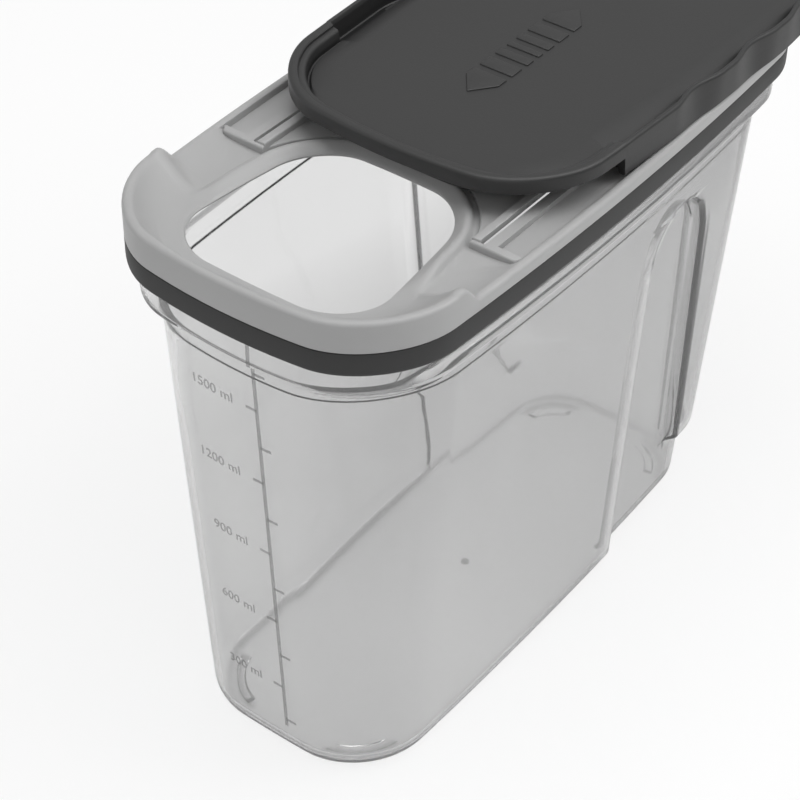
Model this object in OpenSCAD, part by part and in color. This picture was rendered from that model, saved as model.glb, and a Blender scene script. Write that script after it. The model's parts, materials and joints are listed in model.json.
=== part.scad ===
// Slim dry-food container with a lift-off lid and a sliding cover.
// Millimetres. X is across the container, Y runs along it, Z is up.
// The origin is under the middle of the base, on the surface it stands on.
// The pouring end faces -Y. The cover is drawn slid back, with the pouring opening uncovered.

/* [Lid] */
// Length over the lid
lid_length = 200; // [180:1:240]
// Width over the lid
lid_width = 96; // [88:1:120]
// Radius of the lid's corners
lid_corner = 21.5; // [18:0.5:26]
// How far each long side swells out at its middle
side_bow = 3.9; // [1:0.1:6]
// How far each end swells out at its middle
end_bow = 5.9; // [2:0.1:8]
// Height of the dark band round the rim
band_height = 6.4; // [5:0.1:9]
// Wall of the band
band_wall = 2.2; // [1.6:0.1:2.6]
// Height of the side rims above the band
rim_height = 3.7; // [3:0.1:6]
// Wall of the frame's rims
rim_wall = 2.4; // [1.6:0.1:3]
// Height of the front collar above the side rims
collar_height = 4.6; // [3:0.1:7]
// How far the front collar runs past the front corners, along each side
collar_run = 3.1; // [2.4:0.1:8]
// Depth of the plug wall that enters the container's mouth
plug_depth = 9.9; // [8:0.1:14]
// Wall of the plug
plug_wall = 1.6; // [1.4:0.1:2]

/* [Pouring opening] */
// Length of the opening
opening_length = 55.2; // [44:0.2:60]
// Width of the opening, halfway along it
opening_width = 53.8; // [40:0.2:56]
// Share by which the opening is wider in front and narrower behind
opening_taper = 0.104; // [0:0.01:0.14]
// Radius of the opening's corners
opening_corner = 14.5; // [8:0.5:18]
// Distance from the lid's front to the opening
opening_setback = 11.4; // [11:0.1:16]
// Height of the ridge round the rear of the opening
ridge_height = 2; // [1:0.1:2.4]

/* [Guides] */
// Distance of each slot from the middle of the lid
slot_offset = 34.1; // [32:0.1:35]
// Width of each slot
slot_width = 1.4; // [1.2:0.1:1.6]
// Distance from the collar's end to the front end of the slots and channels
guide_setback = 23; // [20:0.5:30]
// Width of each runner channel
channel_width = 8; // [7:0.1:9]
// Depth of each runner channel below the deck rails
channel_depth = 1.6; // [1:0.1:1.8]
// Depth of the deck between the guide ribs
deck_depth = 1; // [0.6:0.1:1.4]

/* [Sliding cover] */
// How far the cover slides back
travel = 60; // [40:1:66]
// Height of the cover above the front collar
cover_height = 4.3; // [4:0.1:6]
// Thickness of the cover's panel
panel_wall = 1.6; // [1.2:0.1:2.2]
// Width of the cover's rim along the sides
cover_rim = 1.5; // [1.2:0.1:1.8]
// Width of the cover's rim in front
front_rim = 2.7; // [2:0.1:3]
// Running clearance of the cover over the lid
slide_clearance = 0.3; // [0.3:0.05:0.6]
// Depth of each finger scallop
scallop_depth = 1.6; // [0.5:0.1:2.4]
// Length of each finger scallop
scallop_length = 22; // [14:0.5:24]
// Distance between finger scallops
scallop_pitch = 27; // [24:0.5:30]
// Length of each guide hook and runner
hook_length = 10; // [6:0.5:12]
// Distance from the cover's front to the tip of the arrow on it
arrow_setback = 33.8; // [20:0.2:60]
// Length of the double arrow
arrow_length = 50.5; // [40:0.5:70]

/* [Container] */
// Height of the container's mouth
mouth_height = 155.5; // [120:0.5:220]
// Wall of the container
wall = 1.8; // [1.4:0.1:2.2]
// Drop from the mouth to the shoulder
shoulder_drop = 14.5; // [13:0.5:20]
// Width of the shoulder's step
shoulder_step = 1.5; // [0.6:0.1:2]
// How far each side leans in, from shoulder to base
side_taper = 7.6; // [3:0.1:10]
// How far each end leans in, from shoulder to base
end_taper = 4; // [1:0.1:8]
// Radius round the base
base_fillet = 5.2; // [4:0.1:7]
// Height of the foot ribs
foot_height = 1.2; // [0.8:0.1:2]
// Depth of the hand grip in each side
grip_depth = 3.4; // [1.5:0.1:4]
// Length of the grip along the base
grip_length = 35; // [24:0.5:44]
// Distance from the shoulder down to the grip's arched top
grip_drop = 12; // [6:0.5:30]
// Height of the step round the rear of the base
rear_step = 26; // [20:0.5:32]

/* [Hidden] */

clear_tone = "gainsboro";
frame_tone = "whitesmoke";
dark_tone = "dimgray";
seal_tone = "lightgray";

corner_steps = 6;
fit_gap = 0.1;
merge = 0.4;

// Lid outline and levels
lid_half = [lid_width / 2 - side_bow, lid_length / 2 - end_bow];
lid_bow = [side_bow, end_bow];
mouth_gap = 0.4;
flange = 1;
band_top = mouth_height + mouth_gap + flange;
band_bottom = band_top - band_height;
rim_top = band_top + rim_height;
collar_top = rim_top + collar_height;
hump = 0.4;
deck_drop = 0.6;
deck_rail = rim_top - deck_drop;
side_end = lid_half.y - lid_corner;
collar_end = collar_run - side_end;
guide_start = collar_end + guide_setback;
hump_length = 2;
rear_reach = 7.6;
ramp_length = 6;
lid_ends = [-0.66, -0.22, 0.22, 0.66];
lid_sides = concat(
    [collar_end - hump_length, collar_end],
    [for (share = [1 / 3, 2 / 3, 1]) collar_end + share * ramp_length],
    [for (share = [0:0.25:1]) mix(guide_start, side_end - rear_reach, share)]);

// Neck, seal and plug, each as an inset from the lid's outline
band_bevel = 0.4;
band_play = 0.4;
neck_inset = band_wall + band_play;
neck_inner = neck_inset + wall;
seal_gap = 0.3;
plug_gap = 1.2;
plug_outer = neck_inner + plug_gap;
plug_inner = plug_outer + plug_wall;
groove_depth = 0.8;
seal_height = 3.2;
seal_bevel = 0.6;
seal_lift = 2.9;
seal_bottom = band_top - plug_depth + seal_lift;
flange_overlap = 0.6;
flange_reach = neck_inner + flange_overlap;

// Pouring opening
lip_drop = 2.6;
lip_top = rim_top - lip_drop;
lip_round = 0.3;
undercut = 1.2;
opening_bow = [0.7, 1.1];
opening_half = [opening_width / 2 - opening_bow.x, opening_length / 2 - opening_bow.y];
opening_middle = opening_setback - lid_length / 2 + opening_length / 2;
opening_sides = [for (i = [0:len(lid_sides) - 1])
    (opening_half.y - opening_corner) * ((2 * i + 1) / len(lid_sides) - 1)];
ridge_start = opening_middle - 14;
ridge_blend = 20;
ridge_offset = 3.4;
ridge_round = 0.8;
ridge_foot = 5.2;
front_dish_power = 2;
side_dish_power = 3.5;
dish_drop = 0.4;

// Guides
slot_inner = slot_offset - slot_width / 2;
slot_outer = slot_offset + slot_width / 2;
rib_width = 2.4;
rib_inner = slot_inner - rib_width;
groove_inner = rib_inner + 0.9;
groove_roof = deck_rail - 1;
deck_start = guide_start - 1;
deck_offset = 6.6;
deck_foot = band_top + merge;
channel_inner = slot_outer + 2.8;
channel_start = guide_start + 1.2;
hook_front = guide_start + 2;
guide_margin = 1.8;
guide_end = side_end - guide_margin;
hook_play = 0.8;
rear_hook = guide_end - hook_play - travel - hook_length;

// Cover
cover_bottom = collar_top + hump + slide_clearance;
cover_top = cover_bottom + cover_height;
panel_top = cover_bottom + panel_wall;
skirt_bottom = rim_top + slide_clearance;
skirt_wall = 1.8;
skirt_play = 0.5;
skirt_start = collar_end + ramp_length + skirt_play;
skirt_ramp = 1.5;
skirt_round = 0.3;
cover_inset = 0.4;
rim_round = 1;
rim_bevel = [0.3, 0.4];
rim_side = 1.1;
shelf_drop = 0.9;
shelf_width = 1.5;
shelf_fall = 0.3;
pan_draft = 0.9;
pan_round = 0.2;
crown_inset = 11;
crown_middle = 6.4;
crown_share = 0.35;
crown_start = 26;
crown_blend = 14;
side_fall = 3.5;
corner_fall = 1.8;
scallop_middle = -5;
scallop_foot = 0.25;
scallop_places = [for (i = [-1:1]) scallop_middle + i * scallop_pitch];
scallop_shares = [-0.5, -0.34, -0.17, 0, 0.17, 0.34, 0.5];
scallop_end = scallop_places[2] + scallop_length / 2;
cover_sides = concat(
    [skirt_start - skirt_ramp, skirt_start],
    [for (place = scallop_places) each [for (share = scallop_shares) place + share * scallop_length]],
    [for (share = [0.5, 1]) mix(scallop_end, side_end - rear_reach, share)]);
carrier_inner = 2.2;
carrier_outer = 5.7;
carrier_wall = 0.8;
carrier_gap = 1;
carrier_bottom = rim_top + carrier_gap;
carrier_roof = 1.6;
cover_seal_top = cover_bottom - carrier_roof;
cover_seal_bottom = rim_top + slide_clearance + fit_gap;
cover_seal_bevel = 0.5;
stem_width = slot_width - 0.4;
toe_reach = 1.2;
toe_height = 1.6;
toe_gap = 0.4;
runner_inner = channel_inner + 1.5;
runner_width = 3;
runner_gap = 0.4;

// Double arrow on the cover's panel
arrow_tip = cover_inset - lid_length / 2 + arrow_setback;
arrow_width = 10;
arrow_head = 6.6;
arrow_relief = 0.4;
bar_length = 9.8;
bar_width = 1.7;
bar_reach = [2.2, 7.3, 13.4];

// Container
shoulder = mouth_height - shoulder_drop;
neck_start = shoulder + 1;
mouth_bevel = 0.3;
neck_half = lid_half - neck_inset * [1, 1];
top_half = neck_half - shoulder_step * [1, 1];
base_half = top_half - [side_taper, end_taper];
neck_corner = lid_corner - neck_inset;
base_corner = 21.7;
top_corner = 25.6;
base_bow = [2.2, 1.1];
body_ends = [-0.5, 0, 0.5];
side_shares = [0.25, 0.5, 0.75];
floor_wall = 2;
floor_top = foot_height + floor_wall;
inner_fillet = 4.4;
grip_top = shoulder - grip_drop;
grip_arch_height = 17;
grip_spring = grip_top - grip_arch_height;
grip_edge = 1.2;
grip_blend = 0.8;
grip_rear_margin = 1.8;
grip_front_lean = 0.042;
grip_rear_lean = 0.11;
step_edge = 1.5;

// ---- Outlines and lofts ----

function mix(a, b, share) = a + (b - a) * share;
function limit(x) = max(0, min(1, x));
function ease(x) = let (s = limit(x)) s * s * (3 - 2 * s);
function flip(list) = [for (i = [len(list) - 1:-1:0]) list[i]];
function arc(middle, radius, from) = [
    for (i = [0:corner_steps])
        let (turn = from + 90 * i / corner_steps)
        middle + radius * [cos(turn), sin(turn)]];

// A rounded rectangle whose sides and ends swell out, counterclockwise from the +X, +Y corner
function bowed(p, half, bow) = [
    p.x + bow.x * p.x / half.x * (1 - pow(p.y / half.y, 2)),
    p.y + bow.y * p.y / half.y * (1 - pow(p.x / half.x, 2))];
function outline(half, radius, bow, ends, sides) =
    let (
        c = half - radius * [1, 1],
        points = concat(
            arc(c, radius, 0),
            [for (share = flip(ends)) [share * c.x, half.y]],
            arc([-c.x, c.y], radius, 90),
            [for (y = flip(sides)) [-half.x, y]],
            arc(-c, radius, 180),
            [for (share = ends) [share * c.x, -half.y]],
            arc([c.x, -c.y], radius, 270),
            [for (y = sides) [half.x, y]]))
    [for (p = points) bowed(p, half, bow)];
function lift(points, z) = [for (p = points) [p.x, p.y, z]];

// A value for each point of an outline: by corner, rear end, front end and side
function spread(corners, rear, front, sides) = concat(
    [for (i = [0:corner_steps]) corners[0]],
    rear,
    [for (i = [0:corner_steps]) corners[1]],
    flip(sides),
    [for (i = [0:corner_steps]) corners[2]],
    front,
    [for (i = [0:corner_steps]) corners[3]],
    sides);

// Joins rings of equal length into one solid, with end caps or as a closed loop
module skin(rings, loop = false) {
    n = len(rings[0]);
    m = len(rings);
    walls = [
        for (i = [0:(loop ? m - 1 : m - 2)]) for (k = [0:n - 1])
            let (a = i * n + k, b = i * n + (k + 1) % n)
            let (up = (i + 1) % m * n, c = up + (k + 1) % n, d = up + k)
            each [[a, c, b], [a, d, c]]];
    caps = loop ? [] : [[for (k = [0:n - 1]) k], [for (k = [n - 1:-1:0]) (m - 1) * n + k]];
    polyhedron(points = [for (ring = rings) each ring], faces = concat(caps, walls), convexity = 10);
}

function lid_ring(inset, z) =
    lift(outline(lid_half - inset * [1, 1], lid_corner - inset, lid_bow, lid_ends, lid_sides), z);

// Sweeps a profile of [inset, height] points round the lid's outline
module lid_sweep(profile) skin([for (p = profile) lid_ring(p[0], p[1])], loop = true);

// The pouring opening, grown by an offset
function opening_ring(offset, z) =
    let (points = outline(
        opening_half + offset * [1, 1], opening_corner + offset, opening_bow, lid_ends, opening_sides))
    [for (p = points) [p.x * (1 - opening_taper * p.y / opening_half.y), p.y + opening_middle, z]];
module opening_sweep(profile) skin([for (p = profile) opening_ring(p[0], p[1])], loop = true);

// ---- Container ----

// The grip's front and rear edges lean back towards the base and close to an arch at the top
function body_half(z) = mix(base_half, top_half, limit(z / shoulder));
function body_corner(z) = mix(base_corner, top_corner, limit(z / shoulder));
function body_side_end(z) = body_half(z).y - body_corner(z);
function grip_arch(z) = sqrt(max(0.1, 1 - pow(limit((z - grip_spring) / (grip_top - grip_spring)), 2)));
function grip_rear(z) = body_side_end(0) - grip_rear_margin - grip_rear_lean * z;
function grip_front(z) = body_side_end(0) - grip_rear_margin - grip_length - grip_front_lean * z;
function grip_sides(z) =
    let (
        middle = (grip_front(z) + grip_rear(z)) / 2,
        reach = (grip_rear(z) - grip_front(z)) / 2 * grip_arch(z),
        start = middle - reach - grip_edge)
    concat(
        [for (share = side_shares) mix(-body_side_end(z), start, share)],
        [start, middle - reach + grip_edge, middle - reach / 3, middle + reach / 3,
            middle + reach - grip_edge, middle + reach + grip_edge]);

// How far each point of a level is pressed in: 1 in the grip and the rear step, 0 elsewhere
function pressed_shares(z) =
    let (
        rear = z < rear_step ? 1 : 0,
        grip = z < grip_top ? 1 : 0,
        none = [for (share = side_shares) 0])
    spread([rear, rear, 0, 0], [for (end = body_ends) rear], [for (end = body_ends) 0],
        concat(none, [0, grip, grip, grip, grip, rear]));

// One level of the container: its outline, pressed in where the grip and the rear step are
function body_outline(z, inset) =
    let (
        neck = z > shoulder,
        half = (neck ? neck_half : body_half(z)) - inset * [1, 1],
        corner = (neck ? neck_corner : body_corner(z)) - inset,
        bow = neck ? lid_bow : mix(base_bow, lid_bow, limit(z / shoulder)))
    outline(half, corner, bow, body_ends, grip_sides(z));
function body_ring(z, inset, level) =
    let (
        plain = body_outline(z, inset),
        pressed = body_outline(z, inset + grip_depth),
        shares = pressed_shares(z))
    [for (i = [0:len(plain) - 1])
        let (p = mix(plain[i], pressed[i], shares[i]))
        [p.x, p.y, level]];

// Foot ribs are arcs under the corners only, each as high as the floor's underside
foot_inset = 5.6;
foot_steps = [[5, false], [3.6, false], [3, true], [0.6, true], [0, false]];
foot_rib = [for (i = [0:corner_steps]) i > 0 && i < corner_steps ? 1 : 0];
foot_ends = [for (end = body_ends) 0];
foot_sides = [for (y = grip_sides(0)) 0];
foot_mask = concat(foot_rib, foot_ends, foot_rib, foot_sides, foot_rib, foot_ends, foot_rib, foot_sides);
function foot_ring(inset, ribbed) =
    let (ring = body_ring(foot_height, inset, foot_height))
    [for (i = [0:len(ring) - 1]) [ring[i].x, ring[i].y, ribbed ? foot_height * (1 - foot_mask[i]) : foot_height]];

body_levels = concat(
    [rear_step - step_edge],
    [for (share = [0, 1 / 3, 2 / 3, 1]) mix(rear_step + step_edge, grip_spring, share)],
    [for (share = [0.35, 0.62, 0.82, 0.94]) mix(grip_spring, grip_top, share)],
    [grip_top + grip_blend, shoulder]);
function fillet_rings(radius, bottom, inset) = [
    for (turn = [0:22.5:90])
        let (z = bottom + radius * (1 - cos(turn)))
        body_ring(z, inset + radius * (1 - sin(turn)), z)];

module container() {
    outside = concat(
        [for (step = foot_steps) foot_ring(foot_inset + step[0], step[1])],
        fillet_rings(base_fillet, foot_height, 0),
        [for (z = body_levels) body_ring(z, 0, z)],
        [body_ring(neck_start, 0, neck_start), body_ring(mouth_height, mouth_bevel, mouth_height)]);
    inside = concat(
        fillet_rings(inner_fillet, floor_top, wall),
        [for (z = body_levels) body_ring(z, wall, z)],
        [body_ring(neck_start, wall, neck_start), body_ring(mouth_height, wall, mouth_height)]);
    color(clear_tone)
        skin(concat(outside, flip(inside)));
}

// ---- Lid ----

// Height of the frame's rim: a collar round the pouring end, a small hump, a ramp, then the low side rims
function rim_level(y) =
    y <= collar_end - hump_length + fit_gap ? collar_top :
    mix(collar_top + hump, rim_top, ease((y - collar_end) / ramp_length));
function rear_weight(y) = ease((y - ridge_start) / ridge_blend);

// The rim's rounded top as [inset, drop], its inner edge, and the surface between it and the opening
rim_steps = [[0, 1.4], [0.35, 0.5], [1, 0], [1.8, 0.05]];
dish_shares = [0.3, 0.6, 0.85, 1];
rim_inner = lid_ring(rim_wall, 0);
open_edge = opening_ring(0, 0);
function span(i) = norm(rim_inner[i] - open_edge[i]);
function dish(i, share) =
    let (
        y = rim_inner[i].y,
        top = y > deck_start + 1 ? deck_rail - deck_depth : rim_level(y) - dish_drop,
        power = y > collar_end + fit_gap ? side_dish_power : front_dish_power)
    lip_top + (top - lip_top) * pow(share, power);
function near_ring(offset, rear_z) =
    let (ring = opening_ring(offset, 0))
    [for (i = [0:len(ring) - 1])
        let (p = ring[i], front_z = dish(i, offset / span(i)))
        [p.x, p.y, mix(front_z, rear_z, rear_weight(p.y))]];
function far_ring(share) =
    let (near = opening_ring(ridge_foot, 0))
    [for (i = [0:len(near) - 1])
        let (p = mix(near[i], rim_inner[i], share))
        [p.x, p.y, dish(i, mix(ridge_foot / span(i), 1, share))]];
function rim_ring(inset, drop) = [for (p = lid_ring(inset, 0)) [p.x, p.y, rim_level(p.y) - drop]];

frame_rings = concat(
    [lid_ring(0, band_top)],
    [for (step = rim_steps) rim_ring(step[0], step[1])],
    flip([for (share = dish_shares) far_ring(share)]),
    [
        near_ring(ridge_foot, lip_top),
        near_ring(ridge_offset + ridge_round, lip_top + ridge_height - lip_round),
        near_ring(ridge_offset, lip_top + ridge_height),
        near_ring(ridge_offset / 2, lip_top + ridge_height / 2),
        opening_ring(0, lip_top - lip_round),
        opening_ring(undercut, band_top),
        lid_ring(plug_inner, band_top),
        lid_ring(plug_inner, band_top - plug_depth),
        lid_ring(plug_outer, band_top - plug_depth),
        lid_ring(plug_outer, seal_bottom),
        lid_ring(plug_outer + groove_depth, seal_bottom),
        lid_ring(plug_outer + groove_depth, seal_bottom + seal_height),
        lid_ring(plug_outer, seal_bottom + seal_height),
        lid_ring(plug_outer, band_top)]);

module both_sides() {
    children();
    mirror([1, 0, 0]) children();
}

// A straight block beside the middle of the lid
module block(inner, outer, front, back, bottom, top)
    translate([inner, front, bottom]) cube([outer - inner, back - front, top - bottom]);

// The deck behind the dish, from its foot inside the frame up to a level
module deck_area() difference() {
    intersection() {
        polygon([for (p = lid_ring(rim_wall - merge, 0)) [p.x, p.y]]);
        translate([-lid_width / 2, deck_start]) square([lid_width, lid_length]);
    }
    polygon([for (p = opening_ring(deck_offset, 0)) [p.x, p.y]]);
}
module deck() translate([0, 0, deck_foot]) {
    linear_extrude(deck_rail - deck_depth - deck_foot) deck_area();
    linear_extrude(deck_rail - deck_foot)
        difference() {
            deck_area();
            translate([-rib_inner, -lid_length / 2]) square([2 * rib_inner, guide_end + lid_length / 2]);
        }
}

// A runner's channel, which stops at the rim's inner edge
module channel() intersection() {
    block(channel_inner, channel_inner + channel_width, channel_start, guide_end,
        deck_rail - channel_depth, cover_top);
    translate([0, 0, band_top])
        linear_extrude(cover_top)
            polygon([for (p = rim_inner) [p.x, p.y]]);
}

module lid_frame() {
    color(frame_tone)
        difference() {
            union() {
                skin(frame_rings, loop = true);
                deck();
                both_sides() block(rib_inner, slot_inner, guide_start, guide_end, deck_rail - merge, rim_top);
            }
            both_sides() {
                block(slot_inner, slot_outer, guide_start, guide_end, band_top - merge, cover_top);
                block(groove_inner, slot_outer, guide_start, guide_end, band_top - merge, groove_roof);
                channel();
            }
        }
}

module rim_band() {
    color(dark_tone)
        lid_sweep([
            [band_bevel, band_bottom], [0, band_bottom + band_bevel], [0, band_top], [flange_reach, band_top],
            [flange_reach, band_top - flange], [band_wall, band_top - flange], [band_wall, band_bottom]]);
}

module lid_seal() {
    color(seal_tone)
        lid_sweep([
            [neck_inner + seal_gap, seal_bottom + seal_bevel],
            [neck_inner + seal_gap, seal_bottom + seal_height - seal_bevel],
            [plug_outer, seal_bottom + seal_height - fit_gap],
            [plug_outer + groove_depth - fit_gap, seal_bottom + seal_height - fit_gap],
            [plug_outer + groove_depth - fit_gap, seal_bottom], [plug_outer, seal_bottom]]);
}

// ---- Sliding cover ----

function scallop(y) = let (near = min([for (place = scallop_places) abs(y - place)]))
    near < scallop_length / 2 ? pow(cos(near / scallop_length * 180), 2) : 0;
function cover_outline(inset) =
    let (all = inset + cover_inset)
    outline(lid_half - all * [1, 1], lid_corner - all, lid_bow, lid_ends, cover_sides);
none = [for (end = lid_ends) 0];
scallops = spread([0, 0, 0, 0], none, none, [for (y = cover_sides) scallop(y)]);
cover_edge = cover_outline(0);
function in_front(i) = cover_edge[i].y < skirt_start - skirt_ramp / 2;

// How far the panel falls towards its edge, most along the sides
function fall(i) =
    (in_front(i) ? corner_fall : side_fall) * ease((abs(cover_edge[i].x) - crown_start) / crown_blend);

// A ring of the cover from its [inset, height] in front and at the side, lowered by a share of the fall
function cover_ring(front, side, fall_share = 0, scallop_share = 1) =
    let (depth = scallop_depth * scallop_share, rings = [for (inset = [front[0], front[0] + depth, side[0],
        side[0] + depth]) cover_outline(inset)])
    [for (i = [0:len(cover_edge) - 1])
        let (
            at = in_front(i) ? front : side,
            k = in_front(i) ? 0 : 2,
            p = mix(rings[k][i], rings[k + 1][i], scallops[i]))
        [p.x, p.y, at[1] - fall_share * fall(i)]];
function crown_ring(inset, z, fall_share) =
    let (ring = cover_outline(inset))
    [for (i = [0:len(ring) - 1]) [ring[i].x, ring[i].y, z - fall_share * fall(i)]];

// The pan over the panel, from the panel up: straight walls along the sides, and a shelf on top of them in
// front and round the corners
pan_front = front_rim + shelf_width;
pan_side = cover_rim + pan_draft;
function pan_rings(shelf, top) = [
    crown_ring(crown_inset, panel_top, 0),
    crown_ring(crown_middle, panel_top, crown_share),
    cover_ring([pan_front + pan_draft, panel_top], [pan_side, panel_top], 1),
    cover_ring([pan_front, shelf - shelf_fall], [cover_rim + pan_round, shelf - shelf_fall]),
    cover_ring([front_rim + pan_round, shelf], [cover_rim + pan_round / 2, shelf]),
    cover_ring([front_rim - pan_round, top], [cover_rim - pan_round, top])];

module cover_shell() {
    edge = [0, cover_top - rim_side];
    bevel = [rim_bevel[0], cover_top - rim_bevel[1]];
    crest = [rim_round, cover_top];
    skin(concat(
        [
            crown_ring(crown_inset, cover_bottom, 0),
            crown_ring(crown_middle, cover_bottom, crown_share),
            cover_ring([pan_front + pan_draft, cover_bottom], [pan_side + skirt_round, cover_bottom], 1),
            cover_ring([pan_front + skirt_round, cover_bottom],
                [skirt_wall + skirt_round, cover_bottom - side_fall]),
            cover_ring([skirt_wall, cover_bottom], [skirt_wall, skirt_bottom], 0, scallop_foot),
            cover_ring([0, cover_bottom], [0, skirt_bottom], 0, scallop_foot),
            cover_ring(edge, edge),
            cover_ring(bevel, bevel),
            cover_ring(crest, crest)],
        flip(pan_rings(cover_top - shelf_drop, cover_top - fit_gap))));
}

module arrow_outline() {
    for (end = [-1, 1]) {
        polygon([
            [0, end * arrow_length / 2],
            [-arrow_width / 2, end * (arrow_length / 2 - arrow_head)],
            [arrow_width / 2, end * (arrow_length / 2 - arrow_head)]]);
        for (reach = bar_reach)
            translate([0, end * reach]) square([bar_length, bar_width], center = true);
    }
}

// Stem, toe and runner on one side: the toe runs in the groove under the rib, the runner in the channel
module hook(front) {
    back = front + hook_length;
    stem_outer = slot_offset + stem_width / 2;
    toe_top = groove_roof - toe_gap;
    runner_bottom = deck_rail - channel_depth + runner_gap;
    block(slot_offset - stem_width / 2, stem_outer, front, back, toe_top - toe_height, cover_top);
    block(slot_inner - toe_reach, stem_outer, front, back, toe_top - toe_height, toe_top);
    block(runner_inner, runner_inner + runner_width, front, back, runner_bottom, cover_top);
}

// Everything under the panel, trimmed just below the panel's top
module cover_fittings() difference() {
    union() {
        opening_sweep([
            [carrier_outer, carrier_bottom], [carrier_outer, cover_bottom + merge],
            [carrier_inner, cover_bottom + merge], [carrier_inner, carrier_bottom],
            [carrier_inner + carrier_wall, carrier_bottom], [carrier_inner + carrier_wall, cover_seal_top],
            [carrier_outer - carrier_wall, cover_seal_top], [carrier_outer - carrier_wall, carrier_bottom]]);
        both_sides() {
            hook(hook_front);
            hook(rear_hook);
        }
    }
    translate([0, 0, -merge]) skin(pan_rings(cover_top - shelf_drop, cover_top + 2 * merge));
}

module sliding_cover() {
    color(dark_tone)
        translate([0, travel, 0]) {
            cover_shell();
            cover_fittings();
            translate([0, arrow_tip + arrow_length / 2, panel_top - merge])
                linear_extrude(merge + arrow_relief)
                    arrow_outline();
        }
}

module cover_seal() {
    seal_outer = carrier_outer - carrier_wall - fit_gap;
    seal_inner = carrier_inner + carrier_wall + fit_gap;
    color(seal_tone)
        translate([0, travel, 0])
            opening_sweep([
                [seal_outer - cover_seal_bevel, cover_seal_bottom],
                [seal_outer, cover_seal_bottom + cover_seal_bevel],
                [seal_outer, cover_seal_top], [seal_inner, cover_seal_top],
                [seal_inner, cover_seal_bottom + cover_seal_bevel],
                [seal_inner + cover_seal_bevel, cover_seal_bottom]]);
}

container();
lid_frame();
rim_band();
lid_seal();
sliding_cover();
cover_seal();
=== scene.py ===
"""A slim dry-food container: a clear tapered body, a lift-off lid with a dark band, and a sliding cover.

Lengths are in millimetres until a mesh is made. X is across the container, Y runs along it, Z is up.
The pouring end faces -Y, and the cover is drawn slid back.
"""

import json
import math

import bpy
import numpy as np
from mathutils import Matrix, Vector

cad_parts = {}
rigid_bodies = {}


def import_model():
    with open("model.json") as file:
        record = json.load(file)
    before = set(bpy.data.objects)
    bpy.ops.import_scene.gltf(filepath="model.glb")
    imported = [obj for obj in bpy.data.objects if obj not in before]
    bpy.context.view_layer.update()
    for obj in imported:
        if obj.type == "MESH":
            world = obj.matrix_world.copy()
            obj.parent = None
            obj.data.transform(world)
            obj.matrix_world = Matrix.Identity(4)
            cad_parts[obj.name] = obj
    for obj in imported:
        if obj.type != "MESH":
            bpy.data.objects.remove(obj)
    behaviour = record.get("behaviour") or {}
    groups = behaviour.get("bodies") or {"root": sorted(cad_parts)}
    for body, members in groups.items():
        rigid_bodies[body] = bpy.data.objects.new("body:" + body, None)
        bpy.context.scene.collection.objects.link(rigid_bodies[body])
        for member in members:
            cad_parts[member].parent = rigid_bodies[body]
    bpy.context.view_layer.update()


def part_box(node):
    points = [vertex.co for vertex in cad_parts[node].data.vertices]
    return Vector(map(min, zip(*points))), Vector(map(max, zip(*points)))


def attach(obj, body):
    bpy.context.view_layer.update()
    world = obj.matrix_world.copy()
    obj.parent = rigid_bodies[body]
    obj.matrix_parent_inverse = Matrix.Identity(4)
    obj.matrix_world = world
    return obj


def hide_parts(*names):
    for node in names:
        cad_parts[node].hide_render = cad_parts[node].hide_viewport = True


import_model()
MM = 0.001

# ---- Sizes that drive the shapes ----

LOW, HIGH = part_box("rim_band")
LID_WIDTH, LID_LENGTH = (HIGH.x - LOW.x) / MM, (HIGH.y - LOW.y) / MM
LID_CORNER = 21.5
SIDE_BOW, END_BOW = 3.9, 5.9
BAND_HEIGHT, BAND_WALL, BAND_PLAY, FLANGE = 6.4, 2.2, 0.4, 1
RIM_HEIGHT, RIM_WALL, RIM_ROUND = 3.7, 2.4, 1.1
COLLAR_HEIGHT, COLLAR_RUN, HUMP, RAMP = 4.6, 3.1, 0.4, 6
PLUG_DEPTH, PLUG_WALL, PLUG_GAP = 9.9, 1.6, 1.2
SEAL_HEIGHT, SEAL_LIFT, SEAL_GROOVE, FIT_GAP = 3.2, 2.9, 0.8, 0.1

OPENING_LENGTH, OPENING_WIDTH, OPENING_TAPER = 55.2, 53.8, 0.104
OPENING_CORNER, OPENING_SETBACK, LIP_DROP = 14.5, 11.4, 2.6
RIDGE_HEIGHT, RIDGE_FOOT, RIDGE_BLEND = 2, 5.6, 20

SLOT_OFFSET, SLOT_WIDTH, RIB_WIDTH = 34.1, 1.4, 2.4
GUIDE_SETBACK, GUIDE_MARGIN = 23, 1.8
CHANNEL_WIDTH, CHANNEL_DEPTH = 8, 1.6
DECK_DEPTH, DECK_DROP, DECK_OFFSET = 1, 0.6, 6.6
DECK_ROUND, WELL_ROUND, RIB_ROUND, SLOT_ROUND = 0.7, 0.5, 0.55, 0.6

TRAVEL, COVER_HEIGHT, PANEL_WALL, SKIRT_WALL = 60, 4.3, 1.6, 1.8
COVER_RIM, FRONT_RIM, SLIDE_CLEARANCE, COVER_INSET = 1.5, 2.7, 0.3, 0.4
SHELF_WIDTH, SHELF_DROP, PAN_DRAFT, PAN_EDGE = 1.5, 0.9, 0.9, 5.6
CROWN_INSET, CROWN_RUN, CROWN_POWER = 11, 8.6, 1.55
FRONT_FALL, SIDE_FALL, FALL_START, FALL_BLEND = 1.8, 3.5, 26, 14
SCALLOP_DEPTH, SCALLOP_FOOT, SCALLOP_LENGTH, SCALLOP_PITCH, SCALLOP_MIDDLE = 1.6, 0.25, 22, 27, -5

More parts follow.
